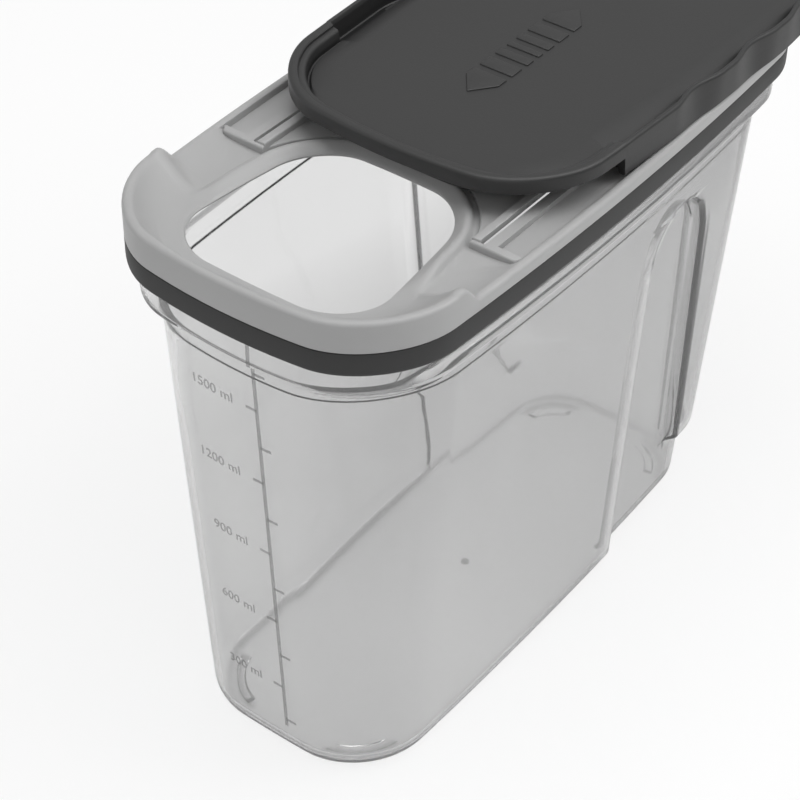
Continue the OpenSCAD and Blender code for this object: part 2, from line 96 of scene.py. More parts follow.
HOOK_LENGTH, HOOK_SETBACK, HOOK_PLAY, STEM_PLAY = 10, 2, 0.8, 0.4
TOE_REACH, TOE_HEIGHT, TOE_GAP = 1.2, 1.6, 0.4
RUNNER_OFFSET, RUNNER_WIDTH, RUNNER_GAP = 1.5, 3, 0.4
CARRIER_OUTER, CARRIER_INNER, CARRIER_WALL, CARRIER_GAP, CARRIER_ROOF = 5.7, 2.2, 0.8, 1, 1.6
POUR_SEAL_OUTER, POUR_SEAL_INNER = 4.8, 3.1

ARROW_SETBACK, ARROW_LENGTH, ARROW_WIDTH, ARROW_HEAD = 33.8, 50.5, 10, 6.6
ARROW_GROOVE, ARROW_GROOVE_REACHES, ARROW_RISE, ARROW_EDGE = 2.1, (2.1, 7.25, 14), 0.4, 0.3

MOUTH_HEIGHT, MOUTH_GAP, WALL = 155.5, 0.4, 1.8
SHOULDER_DROP, SHOULDER_STEP = 14.5, 1.5
NECK_LEAD, NECK_RISE = 0.1, 1.1
SIDE_TAPER, END_TAPER = 7.6, 4
BASE_FILLET, INNER_FILLET, FOOT_HEIGHT, FLOOR_WALL = 5.2, 4.4, 1.2, 2
GRIP_DEPTH, GRIP_LENGTH, GRIP_DROP, GRIP_ARCH, GRIP_MARGIN = 3.4, 35, 12, 17, 1.8
GRIP_FRONT_LEAN, GRIP_REAR_LEAN, GRIP_LEAST_REACH = 0.042, 0.11, 3
REAR_STEP, GRIP_EDGE, STEP_EDGE = 26, 1.2, 1.5
LEDGE_DROP, LEDGE_DEPTH, LEDGE_ROUND = 4.6, 0.4, 0.4
INNER_SLOPE, SLOPE_START, SLOPE_BLEND = 8, 86, 10

# ---- Levels and outlines that follow from them ----

LID_HALF = np.array([LID_WIDTH / 2 - SIDE_BOW, LID_LENGTH / 2 - END_BOW])
LID_BOW = np.array([SIDE_BOW, END_BOW])
BAND_TOP = MOUTH_HEIGHT + MOUTH_GAP + FLANGE
BAND_BOTTOM = BAND_TOP - BAND_HEIGHT
RIM_TOP = BAND_TOP + RIM_HEIGHT
COLLAR_TOP = RIM_TOP + COLLAR_HEIGHT
DECK_RAIL = RIM_TOP - DECK_DROP
SIDE_END = LID_HALF[1] - LID_CORNER
COLLAR_END = COLLAR_RUN - SIDE_END
GUIDE_START = COLLAR_END + GUIDE_SETBACK
GUIDE_END = SIDE_END - GUIDE_MARGIN

NECK_INSET = BAND_WALL + BAND_PLAY
NECK_INNER = NECK_INSET + WALL
PLUG_OUTER = NECK_INNER + PLUG_GAP
PLUG_INNER = PLUG_OUTER + PLUG_WALL
PLUG_BOTTOM = BAND_TOP - PLUG_DEPTH
SEAL_BOTTOM = PLUG_BOTTOM + SEAL_LIFT

LIP_TOP = RIM_TOP - LIP_DROP
OPENING_BOW = np.array([0.7, 1.1])
OPENING_HALF = np.array([OPENING_WIDTH / 2, OPENING_LENGTH / 2]) - OPENING_BOW
OPENING_RUN = OPENING_HALF[1] - OPENING_CORNER
OPENING_MIDDLE = OPENING_SETBACK - LID_LENGTH / 2 + OPENING_LENGTH / 2
RIDGE_START = OPENING_MIDDLE - 14

SLOT_INNER, SLOT_OUTER = SLOT_OFFSET - SLOT_WIDTH / 2, SLOT_OFFSET + SLOT_WIDTH / 2
RIB_INNER = SLOT_INNER - RIB_WIDTH
TOE_GROOVE, TOE_ROOF = RIB_INNER + 0.9, DECK_RAIL - 1
CHANNEL_INNER, CHANNEL_START = SLOT_OUTER + 2.8, GUIDE_START + 1.2
DECK_START = GUIDE_START - 1

COVER_BOTTOM = COLLAR_TOP + HUMP + SLIDE_CLEARANCE
COVER_TOP = COVER_BOTTOM + COVER_HEIGHT
PANEL_TOP = COVER_BOTTOM + PANEL_WALL
SKIRT_BOTTOM = RIM_TOP + SLIDE_CLEARANCE
SKIRT_START = COLLAR_END + RAMP + 0.5

SHOULDER = MOUTH_HEIGHT - SHOULDER_DROP
NECK_HALF = LID_HALF - NECK_INSET
TOP_HALF = NECK_HALF - SHOULDER_STEP
BASE_HALF = TOP_HALF - [SIDE_TAPER, END_TAPER]
NECK_CORNER, BASE_CORNER, TOP_CORNER = LID_CORNER - NECK_INSET, 21.7, 25.6
BASE_BOW = np.array([2.2, 1.1])
FLOOR_TOP = FOOT_HEIGHT + FLOOR_WALL
GRIP_SPRING = SHOULDER - GRIP_DROP - GRIP_ARCH
GRIP_REAR = BASE_HALF[1] - BASE_CORNER - GRIP_MARGIN
LEDGE = SHOULDER - LEDGE_DROP

# ---- Where the points of the outlines lie ----

CORNER_STEPS, SHARP_ANGLE = 18, 32
EDGE_STEPS = np.array([-1, -0.7, -0.4, -0.15, 0.15, 0.4, 0.7, 1])
BODY_ENDS = np.linspace(-0.8, 0.8, 7)
LID_ENDS = np.linspace(-0.86, 0.86, 9)
LID_SIDES = np.concatenate([
    COLLAR_END + np.linspace(-2.5, RAMP, 15),
    np.linspace(COLLAR_END + RAMP + 1.5, GUIDE_START + 1, 8),
    np.linspace(GUIDE_START + 5, SIDE_END - 4, 18)])
SCALLOPS = SCALLOP_MIDDLE + SCALLOP_PITCH * np.array([-1, 0, 1])
SCALLOPS_START, SCALLOPS_END = SCALLOPS[0] - SCALLOP_LENGTH / 2, SCALLOPS[2] + SCALLOP_LENGTH / 2
COVER_ENDS = np.linspace(-0.86, 0.86, 13)
COVER_SIDES = np.concatenate([
    SKIRT_START + np.array([-1.5, -1, -0.5, 0]),
    np.linspace(SCALLOPS_START, SCALLOPS_END, 62),
    np.linspace(SCALLOPS_END + 3, SIDE_END - 3, 8)])


# ---- Outlines and lofts ----

def mix(a, b, share):
    return a + (b - a) * share


def ease(value):
    share = np.clip(value, 0, 1)
    return share * share * (3 - 2 * share)


def arc(middle, radius, start):
    turn = np.radians(start + np.linspace(0, 90, CORNER_STEPS + 1))
    return middle + radius * np.stack([np.cos(turn), np.sin(turn)], axis=1)


def quarter_turn(steps):
    """Angles from 0 to 90 degrees, in radians."""
    return np.radians(np.linspace(0, 90, steps + 1))


def rounding(width, height, steps):
    """(inwards, down) pairs along a rounded edge, from its outer side up to its top."""
    return [(width * (1 - math.cos(turn)), height * (1 - math.sin(turn))) for turn in quarter_turn(steps)]


def outline(half, corner, bow, ends, sides):
    """A rounded rectangle whose sides and ends swell out, counterclockwise from its +X, +Y corner."""
    centre = np.asarray(half) - corner
    ends, sides = np.asarray(ends, float), np.asarray(sides, float)
    flat_ends = np.full(len(ends), half[1])
    flat_sides = np.full(len(sides), half[0])
    points = np.concatenate([
        arc(centre, corner, 0),
        np.stack([ends[::-1] * centre[0], flat_ends], axis=1),
        arc(centre * [-1, 1], corner, 90),
        np.stack([-flat_sides, sides[::-1]], axis=1),
        arc(-centre, corner, 180),
        np.stack([ends * centre[0], -flat_ends], axis=1),
        arc(centre * [1, -1], corner, 270),
        np.stack([flat_sides, sides], axis=1)])
    x, y = points.T / np.asarray(half)[:, None]
    return points + np.stack([bow[0] * x * (1 - y * y), bow[1] * y * (1 - x * x)], axis=1)


def lift(points, height):
    heights = np.broadcast_to(np.asarray(height, float), len(points))
    return np.column_stack([points, heights])


def loft(rings, loop=False):
    """Joins rings of equal length, with end caps or as a closed loop. Returns points and faces."""
    count, levels = len(rings[0]), len(rings)
    faces = []
    for level in range(levels if loop else levels - 1):
        low, high = level * count, (level + 1) % levels * count
        for k in range(count):
            after = (k + 1) % count
            faces.append((low + k, low + after, high + after, high + k))
    if not loop:
        faces.append(tuple(range(count - 1, -1, -1)))
        faces.append(tuple(range((levels - 1) * count, levels * count)))
    return np.concatenate(rings), faces


def shrunk(ring, amount):
    """A counterclockwise ring with every side moved inwards."""
    side = np.roll(ring, -1, axis=0) - ring
    normal = np.stack([-side[:, 1], side[:, 0]], axis=1) / np.linalg.norm(side, axis=1)[:, None]
    before = np.roll(normal, 1, axis=0)
    return ring + (normal + before) * amount / (1 + np.sum(normal * before, axis=1))[:, None]


def slab(ring, bottom, top, edge):
    """A flat piece over a counterclockwise ring, with rounded edges on top."""
    levels = [lift(ring, bottom)]
    levels += [lift(shrunk(ring, inwards), top - down) for inwards, down in rounding(edge, edge, 4)]
    return loft(levels)


def mirrored(shape):
    points, faces = shape
    return points * [-1, 1, 1], [face[::-1] for face in faces]


def both_sides(*shapes):
    return list(shapes) + [mirrored(shape) for shape in shapes]


def moved(shape, offset):
    return shape[0] + np.asarray(offset, float), shape[1]


def mesh_of(name, shapes):
    points, faces, start = [], [], 0
    for shape_points, shape_faces in shapes:
        points.append(shape_points)
        faces.extend(tuple(index + start for index in face) for face in shape_faces)
        start += len(shape_points)
    mesh = bpy.data.meshes.new(name)
    mesh.from_pydata((np.concatenate(points) * MM).tolist(), [], faces)
    mesh.validate()
    return mesh


def object_of(name, data):
    item = bpy.data.objects.new(name, data)
    bpy.context.scene.collection.objects.link(item)
    return item


def piece(name, *shapes):
    return object_of(name, mesh_of(name, shapes))


def smooth(mesh):
    mesh.shade_smooth()
    mesh.set_sharp_from_angle(angle=math.radians(SHARP_ANGLE))


def combine(item, operation, shapes):
    """Adds closed shapes to a piece, or cuts them out of it."""
    for index, shape in enumerate(shapes):
        step = item.modifiers.new("step", "BOOLEAN")
        step.operation = operation
        step.solver = "EXACT"
        step.object = piece(f"tool_{index}", shape)
    apply_modifiers(item)
    for tool in [o for o in bpy.data.objects if o.name.startswith("tool_")]:
        bpy.data.objects.remove(tool)


def final_mesh(item):
    """A mesh of the object as its modifiers leave it."""
    bpy.context.view_layer.update()
    return bpy.data.meshes.new_from_object(item.evaluated_get(bpy.context.evaluated_depsgraph_get()))


def apply_modifiers(item):
    mesh = final_mesh(item)
    item.modifiers.clear()
    item.data = mesh


# ---- Container ----

def up_the_body(z):
    """0 at the base, 1 at the shoulder and above."""
    return min(max(z / SHOULDER, 0), 1)


def body_half(z):
    return mix(BASE_HALF, TOP_HALF, up_the_body(z))


def body_corner(z):
    return mix(BASE_CORNER, TOP_CORNER, up_the_body(z))


def body_bow(z):
    return mix(BASE_BOW, LID_BOW, up_the_body(z))


def neck_share(z):
    """0 below the shoulder, 1 on the neck above it."""
    return ease((z - SHOULDER + NECK_LEAD) / NECK_RISE)


def grip_span(z):
    """Middle and half length of the hand grip at a height. Its edges lean back towards the base."""
    rear = GRIP_REAR - GRIP_REAR_LEAN * z
    front = GRIP_REAR - GRIP_LENGTH - GRIP_FRONT_LEAN * z
    return (front + rear) / 2, (rear - front) / 2


def grip_stations(z):
    """Points along a side, close together at the grip's edges."""
    middle, half = grip_span(z)
    rise = min(max((z - GRIP_SPRING) / GRIP_ARCH, 0), 1)
    reach = max(half * math.sqrt(1 - rise * rise), GRIP_LEAST_REACH)
    edge = min(GRIP_EDGE * (1 + 2 * rise * rise), 0.7 * reach)
    end = body_half(z)[1] - body_corner(z)
    return np.concatenate([
        np.linspace(-end, middle - reach - edge, 14)[1:-1],
        middle - reach + edge * EDGE_STEPS,
        np.linspace(middle - reach + edge, middle + reach - edge, 8)[1:-1],
        middle + reach + edge * EDGE_STEPS,
        np.linspace(middle + reach + edge, end, 6)[1:-1]])


def pressed(y, z):
    """How far a point of the wall is pressed in: 1 in the grip and in the rear step, 0 elsewhere."""
    middle, half = grip_span(z)
    rise = max((z - GRIP_SPRING) / GRIP_ARCH, 0)
    along = (y - middle) / half
    tiny = 1e-6
    reach = np.maximum(np.hypot(along, rise), tiny)
    slope = np.maximum(np.hypot(along / half, rise / GRIP_ARCH) / reach, tiny)
    grip = ease(0.5 + (1 - reach) / slope / (2 * GRIP_EDGE))
    step = ease((REAR_STEP + STEP_EDGE - z) / (2 * STEP_EDGE)) * (y > middle)
    return np.maximum(grip, step)


def body_outline(z, inset):
    """Outline of the container at a height: the tapered body, then a short step out to the neck."""
    neck = neck_share(z)
    half = mix(body_half(z), NECK_HALF, neck) - inset
    corner = mix(body_corner(z), NECK_CORNER, neck) - inset
    return outline(half, corner, mix(body_bow(z), LID_BOW, neck), BODY_ENDS, grip_stations(z))


def body_ring(z, inset, level=None):
    """The container's outline with its grips pressed in, at its own height or at another level."""
    plain = body_outline(z, inset)
    deep = body_outline(z, inset + GRIP_DEPTH)
    share = pressed(plain[:, 1], z)[:, None]
    return lift(mix(plain, deep, share), z if level is None else level)


def corner_share(ring_length):
    """1 in the middle of each corner's arc, falling to 0 at its ends and along the straight runs."""
    turn = np.linspace(0, 1, CORNER_STEPS + 1)
    rib = ease((turn - 0.1) / 0.1) * ease((0.9 - turn) / 0.1)
    end = np.zeros(len(BODY_ENDS))
    side = np.zeros((ring_length - 4 * len(rib) - 2 * len(end)) // 2)
    return np.concatenate([rib, end, rib, side, rib, end, rib, side])


def foot_ring(inset, height):
    """A ring of the base's underside, with a foot rib of this share of its height in each corner."""
    ring = body_ring(FOOT_HEIGHT, inset, FOOT_HEIGHT)
    ring[:, 2] -= FOOT_HEIGHT * height * corner_share(len(ring))
    return ring


def fillet_rings(radius, bottom, inset):
    return [body_ring(bottom + rise, inset + inwards) for rise, inwards in rounding(radius, radius, 8)]


def inner_ring(z):
    """The inside wall: a fine ledge below the shoulder, then the step out to the neck.

    The step is sharp at the front end and a long slope along the sides.
    """
    above_ledge = ease((z - LEDGE + LEDGE_ROUND) / (2 * LEDGE_ROUND))
    ledge = LEDGE_DEPTH * ease((z - LEDGE + 30) / 25) * (1 - above_ledge)
    slope = neck_share(z) - ease((z - SHOULDER + NECK_LEAD) / INNER_SLOPE)
    short, long = body_ring(z, WALL + ledge), body_ring(z, WALL + ledge + SHOULDER_STEP * slope)
    return mix(short, long, ease((short[:, 1] + SLOPE_START) / SLOPE_BLEND)[:, None])


def container_shell():
    """Walls and floor in one loft: feet, base, outside, rolled lip, then down the inside."""
    wall_levels = np.concatenate([
        np.linspace(8, REAR_STEP - STEP_EDGE, 5),
        REAR_STEP + STEP_EDGE * EDGE_STEPS[1:],
        np.linspace(REAR_STEP + 6, GRIP_SPRING, 14),
        GRIP_SPRING + (GRIP_ARCH + GRIP_EDGE) * np.sin(np.radians(np.linspace(5, 90, 18))),
        SHOULDER + np.array([-7, -3, -1, -0.4, -0.1, 0.15, 0.4, 0.65, 0.85, 1, 1.3, 2, 5, 9])])
    ledge_levels = LEDGE + np.array([-6, -0.5, -0.3, -0.1, 0.1, 0.3, 0.5])
    feet = [
        (14, 0), (9.2, 0), (8.8, 0), (8.65, 0.5), (8.3, 0.93), (7.9, 1),
        (6.9, 1), (6.5, 0.93), (6.15, 0.5), (6, 0), (5.6, 0)]
    outside = [foot_ring(inset, height) for inset, height in feet]
    outside += fillet_rings(BASE_FILLET, FOOT_HEIGHT, 0)
    outside += [body_ring(z, 0) for z in wall_levels]
    rolled = [
        body_ring(MOUTH_HEIGHT - WALL / 2 * (1 - math.sin(turn)), WALL / 2 * (1 - math.cos(turn)))
        for turn in np.radians(np.linspace(0, 180, 9))]
    inside = fillet_rings(INNER_FILLET, FLOOR_TOP, WALL)
    inside += [inner_ring(z) for z in np.sort(np.append(wall_levels, ledge_levels))]
    return loft(outside + rolled + inside[::-1])


# ---- Lid ----

def lid_ring(inset, z):
    return lift(outline(LID_HALF - inset, LID_CORNER - inset, LID_BOW, LID_ENDS, LID_SIDES), z)


def opening_outline(offset, ends, sides):
    """Outline of the pouring opening moved outwards, wider in front and narrower behind."""
    points = outline(OPENING_HALF + offset, OPENING_CORNER + offset, OPENING_BOW, ends, sides)
    x, y = points.T
    return np.stack([x * (1 - OPENING_TAPER * y / OPENING_HALF[1]), y + OPENING_MIDDLE], axis=1)


def opening_ring(offset, z):
    stations = np.linspace(-OPENING_RUN, OPENING_RUN, len(LID_SIDES) + 2)[1:-1]
    return lift(opening_outline(offset, LID_ENDS, stations), z)


def rim_level(y):
    """Top of the rim: a collar round the pouring end, a small hump at each end of it, then the low sides."""
    ramp = ease((y - COLLAR_END) / RAMP)
    hump = ease((y - COLLAR_END + 2.4) / 1.2) * HUMP
    return mix(COLLAR_TOP + hump, RIM_TOP, ramp)


def rim_ring(inset, drop):
    ring = lid_ring(inset, 0)
    ring[:, 2] = rim_level(ring[:, 1]) - drop
    return ring


RIDGE_OFFSETS = [0, 0.4, 0.9, 1.5, 2.1, 2.6, 3, 3.4, 3.8, 4.2, 4.6, 5, 5.3, RIDGE_FOOT]
RIDGE_LEVELS = RIDGE_HEIGHT * np.array([
    -0.15, 0.075, 0.275, 0.5, 0.75, 0.91, 0.98, 1, 0.975, 0.86, 0.6, 0.25, 0.07, 0])


def dish(share):
    """Heights of the low dish, from the opening out to the rim."""
    along = lid_ring(RIM_WALL, 0)[:, 1]
    top = np.where(along > DECK_START + 1, DECK_RAIL - DECK_DEPTH, rim_level(along) - 0.4)
    power = mix(2, 3.5, ease((along - COLLAR_END) / 4))
    return LIP_TOP + (top - LIP_TOP) * share ** power


def span():
    """Distance from the opening's edge to the rim, all round."""
    return np.linalg.norm(lid_ring(RIM_WALL, 0) - opening_ring(0, 0), axis=1)


def near_ring(offset):
    """The dish beside the opening, with the ridge round the rear."""
    ring = opening_ring(offset, 0)
    rear = ease((ring[:, 1] - RIDGE_START) / RIDGE_BLEND)
    front_edge = 0.5 * (1 - ease(offset / 0.5)) * (1 - rear)
    ridge = LIP_TOP + np.interp(offset, RIDGE_OFFSETS, RIDGE_LEVELS)
    ring[:, 2] = mix(dish(offset / span()), ridge, rear) - front_edge
    return ring


def far_ring(share):
    """The dish from the ridge's foot out to the rim."""
    ring = mix(opening_ring(RIDGE_FOOT, 0), lid_ring(RIM_WALL, 0), share)
    ring[:, 2] = dish(mix(RIDGE_FOOT / span(), 1, share))
    return ring


def lid_frame_shell():
    """Rim, dish, ridge, opening and plug wall in one closed loft, from the rim's outer face inwards."""
    seal_top = SEAL_BOTTOM + SEAL_HEIGHT
    rings = [lid_ring(0.25, BAND_TOP), lid_ring(0, BAND_TOP + 0.25)]
    rings += [rim_ring(inwards, down) for inwards, down in rounding(RIM_ROUND, RIM_ROUND, 5)]
    rings += [rim_ring(RIM_WALL - 0.9, 0), rim_ring(RIM_WALL - 0.4, 0.12), rim_ring(RIM_WALL - 0.1, 0.35)]
    rings += [far_ring(share) for share in np.linspace(1, 0.08, 12)]
    rings += [near_ring(offset) for offset in RIDGE_OFFSETS[::-1]]
    rings += [opening_ring(offset, z) for offset, z in [
        (0.05, LIP_TOP - 0.8), (1.1, BAND_TOP + 0.1), (1.3, BAND_TOP)]]
    rings += [lid_ring(inset, z) for inset, z in [
        (PLUG_INNER, BAND_TOP), (PLUG_INNER, PLUG_BOTTOM + 0.3), (PLUG_INNER - 0.3, PLUG_BOTTOM),
        (PLUG_OUTER + 0.4, PLUG_BOTTOM), (PLUG_OUTER, PLUG_BOTTOM + 0.4), (PLUG_OUTER, SEAL_BOTTOM),
        (PLUG_OUTER + SEAL_GROOVE, SEAL_BOTTOM), (PLUG_OUTER + SEAL_GROOVE, seal_top),
        (PLUG_OUTER, seal_top), (PLUG_OUTER, BAND_TOP)]]
    return loft(rings, loop=True)


def rounded_block(inner, outer, front, back, bottom, top, corner):
    """An upright block with rounded corners."""
    half = np.array([outer - inner, back - front]) / 2
    ring = outline(half, corner, (0, 0), [0], [0]) + [(inner + outer) / 2, (front + back) / 2]
    return loft([lift(ring, bottom), lift(ring, top)])


def deck_ring(low):
    """Outline of the deck behind the dish: all of it if low, or else without the well between the ribs."""
    rim = lid_ring(RIM_WALL - 0.4, 0)[:, :2]
    half = rim[(rim[:, 0] > 0) & (rim[:, 1] > DECK_START)]
    half = half[np.argsort(np.arctan2(half[:, 1], half[:, 0]))]
    side = rim[rim[:, 0] > LID_HALF[0] - 6]
    outer = np.concatenate([[[np.interp(DECK_START, side[:, 1], side[:, 0]), DECK_START]], half])
    if low:
        edge = opening_outline(DECK_OFFSET, LID_ENDS, np.linspace(-OPENING_RUN, OPENING_RUN, 9))
        inner = edge[(edge[:, 0] > 0) & (edge[:, 1] > DECK_START)]
        inner = inner[np.argsort(inner[:, 0])]
        inner = np.concatenate([inner, [[inner[-1, 0] + 0.3, DECK_START]]])
    else:
        inner = np.array([[RIB_INNER, GUIDE_END], [RIB_INNER, DECK_START]])
    right = np.concatenate([inner, outer])
    return np.concatenate([right, right[::-1] * [-1, 1]])


def channel_ring():
    """Outline of a runner's channel, which stops at the rim's inner edge."""
    rim = lid_ring(RIM_WALL, 0)
    wall = rim[(rim[:, 0] > 0) & (rim[:, 1] > CHANNEL_START) & (rim[:, 1] < GUIDE_END)]
    wall = wall[np.argsort(wall[:, 1])][:, :2]
    wall[:, 0] = np.minimum(wall[:, 0], CHANNEL_INNER + CHANNEL_WIDTH)
    return np.concatenate([
        [[CHANNEL_INNER, GUIDE_END], [CHANNEL_INNER, CHANNEL_START], [wall[0, 0], CHANNEL_START]],
        wall, [[wall[-1, 0], GUIDE_END]]])


def lid_frame():
    """The frame: its shell, the deck and ribs added, and the slots, toe grooves and channels cut."""
    item = piece("frame_moulding", lid_frame_shell())
    foot, cut_bottom, merge = BAND_TOP + 0.4, BAND_TOP - 1, 0.02
    rib_front, rib_back = GUIDE_START, GUIDE_END - 0.1
    rib_left, rib_right = RIB_INNER + 0.05, SLOT_INNER + 0.2
    rib = np.array([
        [rib_right, rib_back], [rib_left, rib_back], [rib_left, rib_front], [rib_right, rib_front]])
    channel = channel_ring()
    combine(item, "UNION", [
        slab(deck_ring(True), foot, DECK_RAIL - DECK_DEPTH, WELL_ROUND),
        slab(deck_ring(False), foot + 0.1, DECK_RAIL, DECK_ROUND)])
    combine(item, "UNION", both_sides(slab(rib, DECK_RAIL - 0.9, RIM_TOP, RIB_ROUND)))
    combine(item, "DIFFERENCE", both_sides(
        rounded_block(SLOT_INNER, SLOT_OUTER, GUIDE_START, GUIDE_END, cut_bottom, COVER_TOP, SLOT_ROUND),
        rounded_block(
            TOE_GROOVE, SLOT_OUTER + merge, GUIDE_START - merge, GUIDE_END + merge,
            cut_bottom - 0.1, TOE_ROOF, SLOT_ROUND),
        loft([lift(channel, DECK_RAIL - CHANNEL_DEPTH), lift(channel, COVER_TOP)])))
    return item


def joined(name, meshes):
    """One object with every mesh in it."""
    parts = [object_of(f"{name}_{index}", mesh) for index, mesh in enumerate(meshes)]
    with bpy.context.temp_override(active_object=parts[0], selected_editable_objects=parts):
        bpy.ops.object.join()
    parts[0].name = name
    return parts[0]


def sweep(profile, ring=lid_ring):
    """A closed loft round the lid, or round the opening, from a section of (distance, height) pairs."""
    return loft([ring(distance, z) for distance, z in profile], loop=True)


def rim_band_shell():
    reach, flange_bottom = NECK_INNER + 0.6, BAND_TOP - FLANGE
    return sweep([
        (0.6, BAND_BOTTOM), (0.25, BAND_BOTTOM + 0.12), (0.05, BAND_BOTTOM + 0.45), (0, BAND_BOTTOM + 0.9),
        (0, BAND_TOP - 0.6), (0.06, BAND_TOP - 0.25), (0.3, BAND_TOP), (reach, BAND_TOP),
        (reach, flange_bottom), (BAND_WALL, flange_bottom), (BAND_WALL, BAND_BOTTOM + 0.3),
        (BAND_WALL - 0.3, BAND_BOTTOM)])


def lid_seal_shell():
    top = SEAL_BOTTOM + SEAL_HEIGHT - FIT_GAP
    face, back = NECK_INNER + 0.3, PLUG_OUTER + SEAL_GROOVE - FIT_GAP
    return sweep([
        (face + 0.3, SEAL_BOTTOM + 0.3), (face, SEAL_BOTTOM + 0.8), (face, SEAL_BOTTOM + 1.6),
        (face + 0.15, SEAL_BOTTOM + 2.3), (PLUG_OUTER, top), (back, top), (back, SEAL_BOTTOM),
        (PLUG_OUTER, SEAL_BOTTOM)])


# ---- Sliding cover ----

def cover_outline(inset):
    all_round = inset + COVER_INSET
    return outline(LID_HALF - all_round, LID_CORNER - all_round, LID_BOW, COVER_ENDS, COVER_SIDES)


COVER_EDGE = cover_outline(0)
IN_FRONT = COVER_EDGE[:, 1] < SKIRT_START - 1.25
ON_SIDE = np.abs(COVER_EDGE[:, 1]) <= SIDE_END
TO_SCALLOP = np.min(np.abs(COVER_EDGE[:, 1, None] - SCALLOPS), axis=1)
IN_SCALLOP = ON_SIDE & (TO_SCALLOP < SCALLOP_LENGTH / 2)
SCALLOP_SHARES = np.where(IN_SCALLOP, np.cos(TO_SCALLOP / SCALLOP_LENGTH * np.pi) ** 2, 0)
FALL = np.where(IN_FRONT, FRONT_FALL, SIDE_FALL) * ease((np.abs(COVER_EDGE[:, 0]) - FALL_START) / FALL_BLEND)


def cover_ring(front, side, fall_share=0, scallop_share=1):
    """A ring of the cover from its (inset, height) in front and at the sides."""
    depth = SCALLOP_DEPTH * scallop_share
    rings = [
        lift(mix(cover_outline(inset), cover_outline(inset + depth), SCALLOP_SHARES[:, None]), z)
        for inset, z in (front, side)]
    ring = np.where(IN_FRONT[:, None], rings[0], rings[1])
    ring[:, 2] -= fall_share * FALL
    return ring


def crown_ring(inset, z):
    """A ring of the panel, which falls away towards its edge."""
    ring = lift(cover_outline(inset), z)
    ring[:, 2] -= FALL * np.clip((CROWN_INSET - inset) / CROWN_RUN, 0, 1) ** CROWN_POWER
    return ring


def cover_shell():
    """The cover in one loft: under the panel, down and up the skirt, over the rim, in across the panel."""
    pan_front, pan_side = FRONT_RIM + SHELF_WIDTH, COVER_RIM + PAN_DRAFT
    shelf = COVER_TOP - SHELF_DROP
    insets = np.linspace(CROWN_INSET, PAN_EDGE, 9)
    under = [crown_ring(inset, COVER_BOTTOM) for inset in insets]
    under += [
        cover_ring((pan_front + 0.9, COVER_BOTTOM), (pan_side + 0.3, COVER_BOTTOM), 1),
        cover_ring((pan_front + 0.3, COVER_BOTTOM), (SKIRT_WALL + 0.2, COVER_BOTTOM - 3.5))]
    under += [
        cover_ring((inset, COVER_BOTTOM + rise), (inset, SKIRT_BOTTOM + side_rise), 0, SCALLOP_FOOT)
        for inset, rise, side_rise in [(SKIRT_WALL, 0, 0.2), (1.6, 0, 0), (0.2, 0, 0), (0, 0.2, 0.2)]]
    edge = [
        cover_ring((front, COVER_TOP - front_down), (side, COVER_TOP - side_down))
        for (front, front_down), (side, side_down) in zip(rounding(1.05, 1.1, 6), rounding(0.75, 0.9, 6))]
    inner = [
        cover_ring((FRONT_RIM - 0.9, COVER_TOP), (COVER_RIM - 0.55, COVER_TOP)),
        cover_ring((FRONT_RIM - 0.45, COVER_TOP - 0.12), (COVER_RIM - 0.2, COVER_TOP - 0.12)),
        cover_ring((FRONT_RIM - 0.2, COVER_TOP - 0.4), (COVER_RIM, COVER_TOP - 0.4)),
        cover_ring((FRONT_RIM - 0.1, shelf - 0.05), (COVER_RIM + 0.1, shelf)),
        cover_ring((FRONT_RIM + 0.5, shelf - 0.02), (COVER_RIM + 0.15, shelf - 0.1)),
        cover_ring((pan_front - 0.45, shelf - 0.12), (COVER_RIM + 0.2, shelf - 0.3)),
        cover_ring((pan_front - 0.1, shelf - 0.4), (COVER_RIM + 0.25, shelf - 0.6)),
        cover_ring((pan_front + 0.15, shelf - 0.9), (COVER_RIM + 0.4, PANEL_TOP - 2.6)),
        cover_ring((pan_front + 0.5, PANEL_TOP + 0.15), (pan_side - 0.3, PANEL_TOP + 0.25), 1),
        cover_ring((pan_front + 0.9, PANEL_TOP), (pan_side, PANEL_TOP), 1)]
    return loft(under + edge + inner + [crown_ring(inset, PANEL_TOP) for inset in insets[::-1]])


def cover_fittings():
    """The seal's carrier, and four guide hooks with their toes and runners, all under the panel."""
    outer, inner, wall = CARRIER_OUTER, CARRIER_INNER, CARRIER_WALL
    bottom, top, seat = RIM_TOP + CARRIER_GAP, COVER_BOTTOM + 0.4, COVER_BOTTOM - CARRIER_ROOF
    shapes = [sweep([
        (outer, bottom + 0.2), (outer, top), (inner, top), (inner, bottom + 0.2), (inner + 0.2, bottom),
        (inner + wall, bottom), (inner + wall, seat), (outer - wall, seat), (outer - wall, bottom),
        (outer - 0.2, bottom)], opening_ring)]
    stem = (SLOT_WIDTH - STEM_PLAY) / 2
    toe_top = TOE_ROOF - TOE_GAP
    runner, runner_bottom = CHANNEL_INNER + RUNNER_OFFSET, DECK_RAIL - CHANNEL_DEPTH + RUNNER_GAP
    for front in (GUIDE_START + HOOK_SETBACK, GUIDE_END - HOOK_PLAY - TRAVEL - HOOK_LENGTH):
        back = front + HOOK_LENGTH
        shapes += both_sides(
            rounded_block(SLOT_OFFSET - stem, SLOT_OFFSET + stem, front, back, toe_top - 1.5, top, 0.35),
            rounded_block(
                SLOT_INNER - TOE_REACH, SLOT_OFFSET + stem, front, back, toe_top - TOE_HEIGHT, toe_top, 0.4),
            rounded_block(runner, runner + RUNNER_WIDTH, front, back, runner_bottom, COVER_BOTTOM - 0.3, 0.8))
    return shapes


